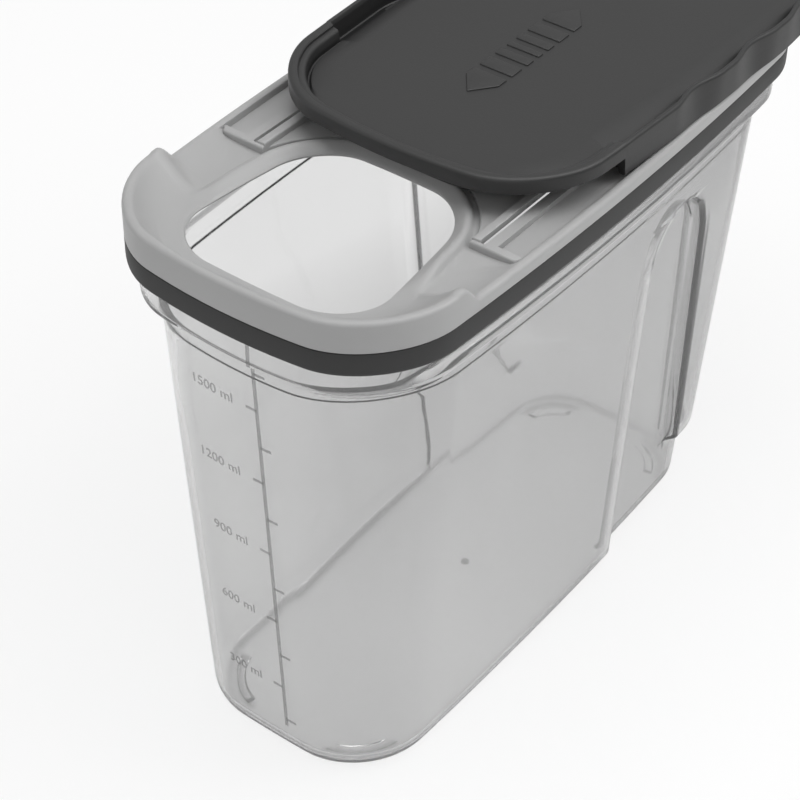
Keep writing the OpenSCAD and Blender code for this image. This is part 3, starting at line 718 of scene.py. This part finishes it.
def cover_seal_shell():
    outer, inner = POUR_SEAL_OUTER, POUR_SEAL_INNER
    bottom, top = RIM_TOP + SLIDE_CLEARANCE + FIT_GAP, COVER_BOTTOM - CARRIER_ROOF
    return sweep([
        (outer - 0.6, bottom), (outer - 0.15, bottom + 0.15), (outer, bottom + 0.6), (outer, top),
        (inner, top), (inner, bottom + 0.6), (inner + 0.15, bottom + 0.15), (inner + 0.6, bottom)],
        opening_ring)


# ---- Node trees ----

def operator_pair(operation):
    """An operator for wires and its reflected form. Each use of them adds one Math node."""
    def forward(wire, other):
        return wire.math(operation, wire, other)

    def reflected(wire, other):
        return wire.math(operation, other, wire)

    return forward, reflected


class Wire:
    """An output socket. Arithmetic on it adds Math nodes to its tree."""

    def __init__(self, tree, socket):
        self.tree = tree
        self.socket = socket

    def math(self, operation, *values):
        return self.tree.node("ShaderNodeMath", {"operation": operation}, dict(enumerate(values))).out(0)

    def __abs__(self):
        return self.math("ABSOLUTE", self)

    __add__, __radd__ = operator_pair("ADD")
    __sub__, __rsub__ = operator_pair("SUBTRACT")
    __mul__, __rmul__ = operator_pair("MULTIPLY")
    __truediv__, __rtruediv__ = operator_pair("DIVIDE")
    __pow__, __rpow__ = operator_pair("POWER")
    __mod__, __rmod__ = operator_pair("FLOORED_MODULO")


class Made:
    """A node that has been made, whose outputs are read as wires."""

    def __init__(self, tree, made):
        self.tree = tree
        self.made = made

    def out(self, key):
        return Wire(self.tree, self.made.outputs[key])


class Tree:
    """A shader or geometry node tree."""

    def __init__(self, nodes):
        self.nodes = nodes

    def node(self, kind, settings=None, inputs=None):
        """Makes a node. Its settings are set first, then its sockets get their values or links."""
        made = self.nodes.nodes.new(kind)
        for name, value in (settings or {}).items():
            setattr(made, name, value)
        for key, value in (inputs or {}).items():
            self.feed(made.inputs[key], value)
        return Made(self, made)

    def feed(self, socket, value):
        if isinstance(value, Wire):
            self.nodes.links.new(value.socket, socket)
        else:
            socket.default_value = value

    def place(self):
        return self.node("ShaderNodeTexCoord").out("Object")

    def vector(self, x, y, z):
        return self.node("ShaderNodeCombineXYZ", {}, {0: x, 1: y, 2: z}).out(0)

    def axes(self, vector):
        made = self.node("ShaderNodeSeparateXYZ", {}, {0: vector})
        return made.out(0), made.out(1), made.out(2)

    def blend(self, share, first, second):
        """A mix of two shaders."""
        return self.node("ShaderNodeMixShader", {}, {0: share, 1: first, 2: second}).out(0)

    def noise(self, scale, detail=3, stretch=(1, 1, 1)):
        where = self.node("ShaderNodeMapping", {}, {"Vector": self.place(), "Scale": stretch}).out("Vector")
        return self.node("ShaderNodeTexNoise", {}, {
            "Vector": where, "Scale": scale, "Detail": detail}).out("Fac")

    def bump(self, height, strength, distance):
        return self.node("ShaderNodeBump", {}, {
            "Height": height, "Strength": strength, "Distance": distance}).out("Normal")

    def tone(self, low, high, share):
        """A colour between two greys."""
        return self.node("ShaderNodeMix", {"data_type": "RGBA"}, {
            0: share, 6: (low, low, low, 1), 7: (high, high, high, 1)}).out(2)


def finish(name):
    material = bpy.data.materials.new(name)
    material.use_nodes = True
    material.node_tree.nodes.clear()
    return material, Tree(material.node_tree)


def surface(tree, shader):
    tree.node("ShaderNodeOutputMaterial", {}, {"Surface": shader})


def plastic(tree, inputs):
    return tree.node("ShaderNodeBsdfPrincipled", {}, inputs).out("BSDF")


def clear_wall_finish():
    """Clear plastic with a grey cast and a little haze. It bends light, and its shadow is pale."""
    material, tree = finish("clear_wall")
    cloud = tree.noise(14, 3, (1, 1, 0.6))
    grain = tree.noise(160, 2)
    body = plastic(tree, {
        "Base Color": tree.tone(0.80, 0.85, cloud),
        "Roughness": 0.012 + cloud * 0.02,
        "Normal": tree.bump(grain, 0.02, 0.0003),
        "Transmission Weight": 0.94,
        "IOR": 1.46})
    lit = tree.node("ShaderNodeBsdfTransparent", {}, {"Color": (0.86, 0.86, 0.86, 1)}).out(0)
    surface(tree, tree.blend(tree.node("ShaderNodeLightPath").out("Is Shadow Ray"), body, lit))
    return material


def frosted_finish():
    """Pale milky plastic with a satin face."""
    material, tree = finish("frosted_plastic")
    cloud = tree.noise(30)
    grain = tree.noise(1800, 2)
    surface(tree, plastic(tree, {
        "Base Color": tree.tone(0.34, 0.38, cloud),
        "Roughness": 0.38 + cloud * 0.08,
        "Normal": tree.bump(grain, 0.08, 0.0002),
        "IOR": 1.49,
        "Subsurface Weight": 0.12,
        "Subsurface Radius": (0.004, 0.004, 0.004),
        "Subsurface Scale": 1.0}))
    return material


def cover_finish():
    """Dark grey moulded plastic with a fine spark-eroded face. Painted shade makes its fittings under the
    panel and its faces that look sideways darker.
    """
    material, tree = finish("dark_plastic_with_painted_shade")
    cloud = tree.noise(22, 4)
    grain = tree.noise(2600, 2)
    # Painted shade: the colour darkens below the panel's underside, on the fittings and the skirt's lower
    # part.
    above = tree.node("ShaderNodeMapRange", {}, {
        "Value": tree.axes(tree.place())[2], "To Min": -3.5, "To Max": 0,
        "From Min": (COVER_BOTTOM - 1) * MM, "From Max": COVER_BOTTOM * MM}).out(0)
    # Painted shade: faces that look sideways get a darker colour.
    across = tree.axes(tree.node("ShaderNodeNewGeometry").out("Normal"))[0]
    side = tree.node("ShaderNodeMapRange", {"interpolation_type": "SMOOTHSTEP"}, {
        "Value": abs(across), "From Min": 0.35, "From Max": 0.9}).out(0)
    surface(tree, plastic(tree, {
        "Base Color": tree.tone(0.008, 0.031, cloud * 0.2 + above * 0.25 + 0.8 - side * 0.8),
        "Roughness": 0.42 + grain * 0.08,
        "Normal": tree.bump(grain, 0.12, 0.0002),
        "IOR": 1.49}))
    return material


def band_finish():
    """Dark soft-touch rubber."""
    material, tree = finish("dark_rubber")
    cloud = tree.noise(40)
    grain = tree.noise(3000, 2)
    surface(tree, plastic(tree, {
        "Base Color": tree.tone(0.022, 0.028, cloud),
        "Roughness": 0.55 + cloud * 0.08,
        "Normal": tree.bump(grain, 0.15, 0.0002),
        "IOR": 1.45}))
    return material


def seal_finish():
    """Pale soft silicone."""
    material, tree = finish("soft_seal")
    cloud = tree.noise(60)
    surface(tree, plastic(tree, {
        "Base Color": tree.tone(0.5, 0.56, cloud),
        "Roughness": 0.5 + cloud * 0.1,
        "Normal": tree.bump(cloud, 0.1, 0.0003),
        "IOR": 1.42}))
    return material


def marks_finish(name, opacity):
    """Grey marks on the clear wall."""
    material, tree = finish(name)
    cloud = tree.noise(180)
    surface(tree, plastic(tree, {
        "Base Color": tree.tone(0.16, 0.24, cloud),
        "Roughness": 0.4 + cloud * 0.1,
        "Alpha": opacity + cloud * 0.14,
        "IOR": 1.49}))
    return material


# ---- Volume scale ----

SCALE_X, SCALE_FIRST, SCALE_STEP, SCALE_SHRINK = 5.8, 14.6, 13.2, 0.078
TICKS, TICK_LENGTH, TICK_WIDTH, TICK_VOLUME = 11, 3.2, 0.75, 150
MARK_RISE, LINE_WIDTH, LINE_BOTTOM = 0.12, 1, 12
NUMBERS_X, NUMBERS_HEIGHT, DIGIT_SHARE = -1.3, 2.9, 0.7


def wall_front(x, z):
    """Y of the outer face of the front wall, and of the neck above the shoulder."""
    neck = neck_share(z)
    half, bow = mix(body_half(z), NECK_HALF, neck), mix(body_bow(z), LID_BOW, neck)
    return -(half[1] + bow[1] * (1 - (x / half[0]) ** 2))


def wrap_on_wall(mesh):
    """Lays flat marks, drawn in X and Z with their rise along -Y, on the front wall."""
    for vertex in mesh.vertices:
        x, rise, z = np.array(vertex.co) / MM
        vertex.co.y = (wall_front(x, z) + rise) * MM


def new_tree(name, floats, whole=()):
    """Starts a geometry node tree with named inputs for its sizes. Returns it, its wires and its input."""
    group = bpy.data.node_groups.new(name, "GeometryNodeTree")
    interface = group.interface
    interface.new_socket("Geometry", in_out="INPUT", socket_type="NodeSocketGeometry")
    for size in floats:
        interface.new_socket(size, in_out="INPUT", socket_type="NodeSocketFloat")
    for count in whole:
        interface.new_socket(count, in_out="INPUT", socket_type="NodeSocketInt")
    interface.new_socket("Geometry", in_out="OUTPUT", socket_type="NodeSocketGeometry")
    tree = Tree(group)
    return group, tree, tree.node("NodeGroupInput")


def close_tree(tree, copies, material):
    """Puts the copies on their points, makes them one mesh with this material, and ends the tree."""
    placed = tree.node("GeometryNodeInstanceOnPoints", {}, copies).out(0)
    real = tree.node("GeometryNodeRealizeInstances", {}, {0: placed}).out(0)
    made = tree.node("GeometryNodeSetMaterial", {}, {"Geometry": real, "Material": material}).out(0)
    tree.node("NodeGroupOutput", {}, {0: made})


def tick_tree(marks):
    """A row of ticks that takes its sizes as inputs. Even ticks point right, odd ones left."""
    sizes = ("Line X", "First", "Step", "Shrink", "Length", "Thickness", "Rise")
    group, tree, given = new_tree("scale_ticks", sizes, ("Count",))
    index = tree.node("GeometryNodeInputIndex").out(0)
    side = 1 - index % 2 * 2
    x = given.out("Line X") + side * given.out("Length") / 2
    z = given.out("First") + index * given.out("Step") - index * index * given.out("Shrink")
    where = tree.vector(x, given.out("Rise") * -0.5, z)
    row = tree.node("GeometryNodePoints", {}, {"Count": given.out("Count"), "Position": where}).out(0)
    size = tree.vector(given.out("Length"), given.out("Rise"), given.out("Thickness"))
    tick = tree.node("GeometryNodeMeshCube", {}, {"Size": size, "Vertices X": 4}).out(0)
    close_tree(tree, {"Points": row, "Instance": tick}, marks)
    return group


def from_tree(name, group, values, start=None):
    """Runs a geometry node tree with these inputs on a mesh or on none, and returns its plain mesh."""
    item = object_of(name, start or bpy.data.meshes.new(name))
    modifier = item.modifiers.new(name, "NODES")
    modifier.node_group = group
    for socket in group.interface.items_tree:
        if socket.in_out == "INPUT" and socket.name in values:
            modifier[socket.identifier] = values[socket.name]
    apply_modifiers(item)
    mesh = item.data
    bpy.data.objects.remove(item)
    return mesh


def numeral(text, right, z, height):
    """A flat number that ends at an X, centred on a height."""
    curve = bpy.data.curves.new(text, "FONT")
    curve.body = text
    curve.size = height / DIGIT_SHARE * MM
    curve.extrude = MARK_RISE / 2 * MM
    curve.align_x, curve.align_y = "RIGHT", "CENTER"
    item = object_of(text, curve)
    mesh = final_mesh(item)
    bpy.data.objects.remove(item)
    place = Matrix.Translation((right * MM, -MARK_RISE / 2 * MM, z * MM))
    mesh.transform(place @ Matrix.Rotation(math.pi / 2, 4, "X"))
    return mesh


def volume_scale(marks):
    """The moulded scale: an upright line, its ticks, and a number beside every second tick."""
    left, right = SCALE_X - LINE_WIDTH / 2, SCALE_X + LINE_WIDTH / 2
    section = np.array([[right, 0], [left, 0], [left, -MARK_RISE], [right, -MARK_RISE]])
    levels = np.concatenate([
        np.linspace(LINE_BOTTOM, SHOULDER - NECK_LEAD, 12),
        SHOULDER + np.linspace(0.1, 1, 7),
        [BAND_BOTTOM]])
    line = mesh_of("scale_line", [loft([lift(section, z) for z in levels])])
    ticks = from_tree("scale_ticks", tick_tree(marks), {
        "Line X": SCALE_X * MM, "First": SCALE_FIRST * MM, "Step": SCALE_STEP * MM,
        "Shrink": SCALE_SHRINK * MM, "Length": TICK_LENGTH * MM, "Thickness": TICK_WIDTH * MM,
        "Rise": MARK_RISE * MM, "Count": TICKS})
    meshes = [line, ticks]
    for index in range(1, TICKS, 2):
        z = SCALE_FIRST + SCALE_STEP * index - SCALE_SHRINK * index * index
        meshes.append(numeral(f"{TICK_VOLUME * (index + 1)} ml", NUMBERS_X, z, NUMBERS_HEIGHT))
    for mesh in meshes:
        mesh.materials.clear()
        wrap_on_wall(mesh)
    return joined("volume_scale", meshes)


def gate_mark():
    """The small nub that the moulding gate leaves in the middle of the base's underside."""
    turn = np.linspace(0, 2 * np.pi, 24, endpoint=False)
    circle = np.stack([np.cos(turn), np.sin(turn)], axis=1)
    profile = [(0.4, 0.45), (0.9, 0.4), (1.25, 0.2), (1.35, -0.2)]
    rings = [lift(circle * radius, FOOT_HEIGHT - drop) for radius, drop in profile]
    return piece("gate_mark", loft(rings))


# ---- Double arrow ----

def arrow_end():
    """One pointed end, drawn towards -Y from the arrow's middle: a short straight stub and a tip."""
    half, tip = ARROW_WIDTH / 2, -ARROW_LENGTH / 2
    shoulder, stub = tip + ARROW_HEAD, -ARROW_GROOVE_REACHES[-1] - ARROW_GROOVE / 2
    return np.array([[0, tip], [half, shoulder], [half, stub], [-half, stub], [-half, shoulder]])


def bar_tree(skin):
    """Raised bars on the points that it is given. Each point holds its own bar's width."""
    group, tree, given = new_tree("arrow_bars", ("Length", "Height"))
    size = tree.vector(given.out("Length"), 1.0, given.out("Height"))
    bar = tree.node("GeometryNodeMeshCube", {}, {"Size": size}).out(0)
    width = tree.node("GeometryNodeInputNamedAttribute", {}, {"Name": "bar_width"}).out("Attribute")
    close_tree(tree, {"Points": given.out(0), "Instance": bar, "Scale": tree.vector(1.0, width, 1.0)}, skin)
    return group


def double_arrow(skin):
    """The raised double arrow: five bars between six grooves, and a pointed end on each side of them."""
    middle_y = COVER_INSET - LID_LENGTH / 2 + ARROW_SETBACK + ARROW_LENGTH / 2 + TRAVEL
    top, bottom = PANEL_TOP + ARROW_RISE, PANEL_TOP - ARROW_RISE
    grooves = np.sort(np.outer([-1, 1], ARROW_GROOVE_REACHES).ravel())
    bar_middles = (grooves[1:] + grooves[:-1]) / 2
    points = bpy.data.meshes.new("bar_places")
    points.from_pydata([(0, (middle_y + y) * MM, (top + bottom) / 2 * MM) for y in bar_middles], [], [])
    widths = points.attributes.new("bar_width", "FLOAT", "POINT")
    widths.data.foreach_set("value", (np.diff(grooves) - ARROW_GROOVE) * MM)
    bars = from_tree("arrow_bars", bar_tree(skin), {
        "Length": ARROW_WIDTH * MM, "Height": (top - bottom) * MM}, points)
    ends = [arrow_end() * turn + [0, middle_y] for turn in (1, -1)]
    prisms = mesh_of("arrow_ends", [loft([lift(end, bottom), lift(end, top)]) for end in ends])
    arrow = joined("double_arrow", [bars, prisms])
    edge = arrow.modifiers.new("edge", "BEVEL")
    edge.width, edge.segments = ARROW_EDGE * MM, 3
    apply_modifiers(arrow)
    mesh = arrow.data
    bpy.data.objects.remove(arrow)
    return mesh


# ---- Assembly ----

def dress(item, material, body, node=None):
    """Gives a piece its finish and its body, and hides the node that it stands in for."""
    smooth(item.data)
    item.data.materials.clear()
    item.data.materials.append(material)
    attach(item, body)
    if node:
        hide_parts(node)


def assemble():
    clear, frosted, dark = clear_wall_finish(), frosted_finish(), cover_finish()
    rubber, seal, marks = band_finish(), seal_finish(), marks_finish("moulded_marks", 0.25)
    dress(piece("container_shell", container_shell()), clear, "container", "container")
    dress(volume_scale(marks), marks, "container")
    # The gate nub's dark grey is painted shade, in place of the shadow under it.
    dress(gate_mark(), marks_finish("gate_nub_painted_shade", 0.55), "container")
    dress(lid_frame(), frosted, "lid", "lid_frame")
    dress(piece("rubber_band", rim_band_shell()), rubber, "lid", "rim_band")
    dress(piece("mouth_seal", lid_seal_shell()), seal, "lid", "lid_seal")
    slid_back = (0, TRAVEL, 0)
    shapes = [moved(shape, slid_back) for shape in [cover_shell()] + cover_fittings()]
    cover = joined("cover_moulding", [mesh_of("cover_moulding", shapes), double_arrow(dark)])
    dress(cover, dark, "cover", "sliding_cover")
    dress(piece("pour_seal", moved(cover_seal_shell(), slid_back)), seal, "cover", "cover_seal")


# ---- Camera, floor and light ----

def camera():
    right = (0.8074215, 0.589428, 0.02540012)
    down = (0.38938293, -0.5000591, -0.77351266)
    forward = (-0.44322845, 0.63444112, -0.63327167)
    place = (0.262492, -0.384758, 0.458359)
    data = bpy.data.cameras.new("camera")
    data.sensor_width = 36
    data.lens = 98.684
    data.shift_x, data.shift_y = -0.0628, -0.0471
    data.clip_start = 0.05
    item = object_of("camera", data)
    rows = [[right[i], -down[i], -forward[i]] for i in range(3)]
    item.matrix_world = Matrix.Translation(place) @ Matrix(rows).to_4x4()
    bpy.context.scene.camera = item


def at_least(value, low):
    return value.math("MAXIMUM", value, low)


def at_most(value, high):
    return value.math("MINIMUM", value, high)


def clamp(value):
    return at_most(at_least(value, 0), 1)


def fade(value):
    """e to the power of a value."""
    return value.math("EXPONENT", value)


def edge_distance(x, y):
    """Distance in metres from the line where the base curves up, and 1 round the base's corners."""
    corner = (BASE_CORNER - BASE_FILLET / 2) * MM
    half_x, half_y = (BASE_HALF + BASE_BOW - BASE_FILLET / 2) * MM
    over_x = abs(x) + y * y * (BASE_BOW[0] * MM / half_y ** 2) - (half_x - corner)
    over_y = abs(y) - (half_y - corner)
    out_x, out_y = at_least(over_x, 0), at_least(over_y, 0)
    inside = at_most(at_least(over_x, over_y), 0)
    corner_gain = 30000
    return (out_x * out_x + out_y * out_y) ** 0.5 + inside - corner, clamp(out_x * out_y * corner_gain)


def painted_floor_shading(x, y):
    """Painted light and shade on the open floor as the clear walls show it. It falls to the back and rises to
    the far left.
    """
    middle, left_gain, far_left_gain, back_fall, far_back_fall = 0.635, 0.06, 40, 1.59, 2.7
    left, far_left = clamp((0.015 - x) / 0.035), at_least(-0.05 - x, 0)
    back, far_back = at_least(y + 0.03, 0), at_least(y - 0.2, 0)
    return clamp(
        middle + left * left_gain + far_left * (back * far_left_gain + 1) - back * back_fall
        - far_back * far_back_fall)


def painted_contact_shadow(x, y):
    """Painted contact shadow: the share of the light that is left where the base and its foot ribs come close
    to the floor.
    """
    rib_distance, rib_blur = 0.0044, 0.0015
    edge_sharpness, near_sharpness = -250000, -90
    gap, corner = edge_distance(x, y)
    beside = (gap + rib_distance) / rib_blur
    rib = fade(beside * beside * -1) * corner
    edge = fade(gap * gap * edge_sharpness)
    near = fade(abs(gap) * near_sharpness)
    return (1 - near * 0.1) * (1 - edge * 0.5) * (1 - rib * 0.6)


def floor():
    """A plain white floor. Rays through the clear walls see it glow with painted shade: softly shaded, darker
    under the base and far from the part.
    """
    half, thickness, drop, white_level = 1500, 8, 0.05, 1.1
    camera_share, through_share, far_start, far_run = 0.72, 0.8, 0.26, 0.25
    ring = np.array([[half, half], [-half, half], [-half, -half], [half, -half]], float)
    item = piece("floor", loft([lift(ring, -thickness), lift(ring, -drop)]))
    material, tree = finish("floor_with_painted_shade")
    seen = tree.node("ShaderNodeLightPath")
    matte = tree.node("ShaderNodeBsdfDiffuse", {}, {"Color": tree.tone(0.86, 0.9, tree.noise(3, 2))}).out(0)
    bright = tree.node("ShaderNodeEmission", {}, {"Color": (1, 1, 1, 1), "Strength": 1.0}).out(0)
    x, y, _ = tree.axes(tree.place())
    # Painted shade: the floor that the clear walls show darkens far from the part.
    away = clamp(((x * x + y * y) ** 0.5 - far_start) / far_run)
    shade = tree.tone(0, white_level, painted_floor_shading(x, y) * painted_contact_shadow(x, y) * (1 - away * 0.5))
    # The floor glows with this painted shade for rays through the clear walls.
    below = tree.node("ShaderNodeEmission", {}, {"Color": shade, "Strength": 1.0}).out(0)
    shown = tree.blend(seen.out("Is Camera Ray") * camera_share, matte, bright)
    surface(tree, tree.blend(seen.out("Is Transmission Ray") * through_share, shown, below))
    item.data.materials.append(material)


def light(name, place, target, size, power):
    """A square area lamp that looks at a point."""
    data = bpy.data.lights.new(name, "AREA")
    data.size = size
    data.energy = power
    item = object_of(name, data)
    item.location = place
    item.rotation_euler = (Vector(target) - item.location).to_track_quat("-Z", "Y").to_euler()


def studio():
    """White to the camera, and soft greys that light the part and show in its clear walls."""
    world = bpy.data.worlds.new("studio")
    world.use_nodes = True
    world.node_tree.nodes.clear()
    tree = Tree(world.node_tree)
    seen = tree.node("ShaderNodeLightPath")
    camera_ray, through = seen.out("Is Camera Ray"), seen.out("Is Transmission Ray")
    right, _, up = tree.axes(tree.node("ShaderNodeTexCoord").out("Generated"))
    room, bent, white = [
        tree.node("ShaderNodeBackground", {}, {"Color": colour, "Strength": 1.0}).out(0)
        for colour in (tree.tone(0.46, 0.56, right * 0.6 + 0.5), tree.tone(0.6, 0.4, up * 1.5), (1, 1, 1, 1))]
    shown = tree.blend(camera_ray, tree.blend(through, room, bent), white)
    tree.node("ShaderNodeOutputWorld", {}, {"Surface": shown})
    bpy.context.scene.world = world
    bpy.context.scene.view_settings.view_transform = "Standard"
    light("key", (0.75, 0.5, 1.1), (0, 0, 0.12), 0.7, 6)
    light("top", (0.1, 0.0, 1.3), (0, 0, 0.12), 1.0, 7.5)
    light("fill", (-0.9, -0.9, 0.7), (0, 0, 0.1), 0.6, 1.3)


assemble()
camera()
floor()
studio()
